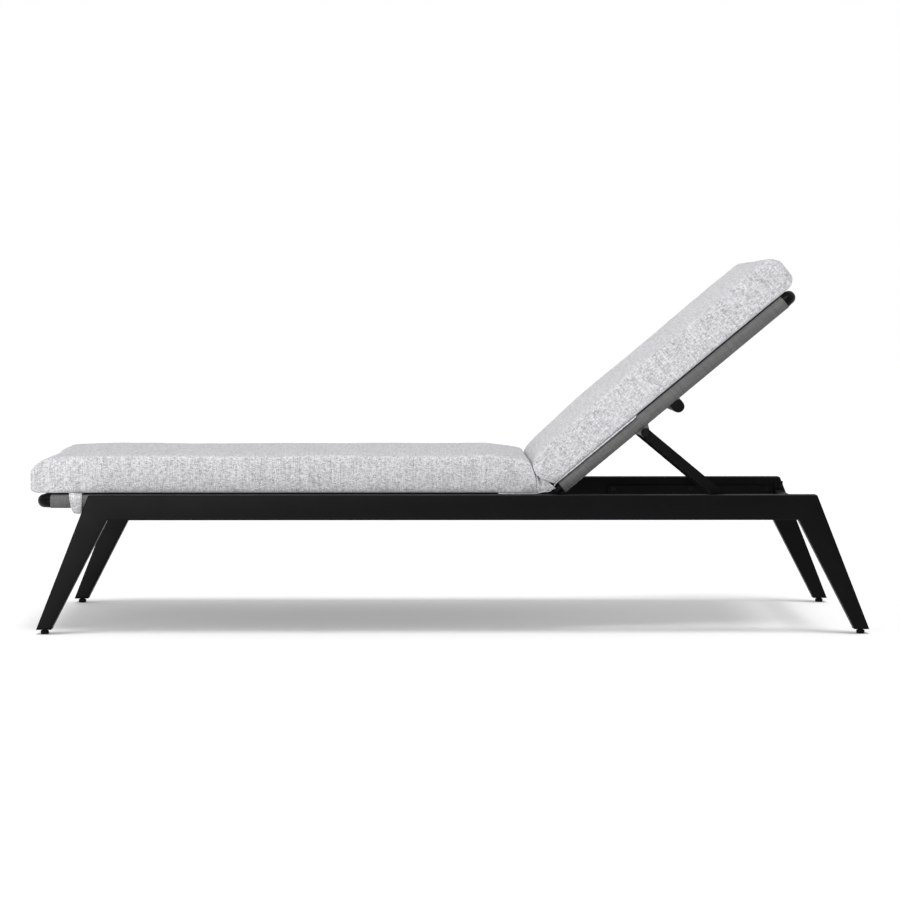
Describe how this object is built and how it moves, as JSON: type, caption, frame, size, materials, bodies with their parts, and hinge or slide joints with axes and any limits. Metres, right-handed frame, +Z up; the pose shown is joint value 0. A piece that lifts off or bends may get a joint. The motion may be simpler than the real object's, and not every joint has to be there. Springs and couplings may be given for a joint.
{
  "type": "reclining sun lounger",
  "caption": "Low garden lounger: black rail frame on splayed legs, sling seat and hinged back held by a ratchet bail, with thick fabric cushions.",
  "frame": {"origin": "floor level, centre of the whole lounger's footprint", "axes": "+X towards the head end, +Y across the lounger, +Z up; the foot end is at -X"},
  "size_m": [2.01, 0.7, 0.8955],
  "materials": {
    "black_powder_coat": "fine-textured matt black powder coat on steel tube",
    "grey_powder_coat": "mid grey powder coat",
    "blackened_steel": "blackened steel fasteners",
    "black_nylon": "moulded black nylon",
    "rubber_pad": "soft black rubber",
    "sling_fabric": "taut grey coated mesh sling cloth",
    "cushion_fabric": "light grey melange outdoor weave"
  },
  "bodies": {
    "frame": {"rail_left": "black_powder_coat", "rail_right": "black_powder_coat", "foot_leg_left": "black_powder_coat", "foot_leg_right": "black_powder_coat", "head_leg_left": "black_powder_coat", "head_leg_right": "black_powder_coat", "leg_plugs": "black_nylon", "cross_beam_foot": "black_powder_coat", "cross_beam_centre": "black_powder_coat", "cross_beam_hinge": "black_powder_coat", "cross_beam_head": "black_powder_coat", "beam_screws": "blackened_steel", "rail_inserts": "blackened_steel", "seat_tube_left": "black_powder_coat", "seat_tube_right": "black_powder_coat", "seat_foot_tube": "black_powder_coat", "seat_rear_tube": "black_powder_coat", "seat_tube_plugs": "black_nylon", "seat_saddles": "black_nylon", "saddle_bolts": "blackened_steel", "back_rest_pads": "rubber_pad", "seat_sling_panel": "sling_fabric", "seat_sling_hem_left": "sling_fabric", "seat_sling_hem_right": "sling_fabric", "seat_cushion": "cushion_fabric", "strap_loop_left": "cushion_fabric", "strap_loop_right": "cushion_fabric", "cushion_flap": "cushion_fabric", "hinge_bolts": "blackened_steel", "hinge_spacers": "black_nylon", "rack_left": "black_powder_coat", "rack_right": "black_powder_coat", "rack_screws": "blackened_steel"},
    "back": {"back_tube_left": "black_powder_coat", "back_tube_right": "black_powder_coat", "back_top_tube": "black_powder_coat", "back_lower_tube": "black_powder_coat", "back_stretcher": "black_powder_coat", "stretcher_caps": "black_nylon", "back_tube_plugs": "black_nylon", "hinge_ears": "black_powder_coat", "hinge_bushes": "black_nylon", "support_ears": "grey_powder_coat", "back_sling_panel": "sling_fabric", "back_sling_hem_left": "sling_fabric", "back_sling_hem_right": "sling_fabric", "back_cushion": "cushion_fabric", "pivot_bolts": "blackened_steel", "pivot_nuts": "blackened_steel"},
    "support_bail": {"support_arm_left": "black_powder_coat", "support_arm_right": "black_powder_coat", "support_rod": "blackened_steel", "arm_bushes": "black_nylon", "rod_collars": "blackened_steel"},
    "glide_foot_left": {"glide_foot_left": "black_nylon"},
    "glide_foot_right": {"glide_foot_right": "black_nylon"},
    "glide_head_left": {"glide_head_left": "black_nylon"},
    "glide_head_right": {"glide_head_right": "black_nylon"}
  },
  "joints": [
    {"name": "back_recline", "type": "hinge", "parent": "frame", "child": "back", "pos_m": [0.2317, 0, 0.2876], "axis": [0, -1, 0], "range_deg": [-39.75, 30.25]},
    {"name": "bail_swing", "type": "hinge", "parent": "back", "child": "support_bail", "pos_m": [0.4652, 0, 0.4818], "axis": [0, -1, 0], "range_deg": [-60.6, 79.6]},
    {"name": "glide_foot_left_turn", "type": "hinge", "parent": "frame", "child": "glide_foot_left", "pos_m": [-0.9818, -0.33, 0.02], "axis": [0, 0, 1], "range_deg": [0, 720]},
    {"name": "glide_foot_right_turn", "type": "hinge", "parent": "frame", "child": "glide_foot_right", "pos_m": [-0.9818, 0.33, 0.02], "axis": [0, 0, 1], "range_deg": [0, 720]},
    {"name": "glide_head_left_turn", "type": "hinge", "parent": "frame", "child": "glide_head_left", "pos_m": [0.9818, -0.33, 0.02], "axis": [0, 0, 1], "range_deg": [0, 720]},
    {"name": "glide_head_right_turn", "type": "hinge", "parent": "frame", "child": "glide_head_right", "pos_m": [0.9818, 0.33, 0.02], "axis": [0, 0, 1], "range_deg": [0, 720]}
  ],
  "couplings": [
    {"joint": "bail_swing", "follows": "back_recline", "ratio": -2}
  ]
}
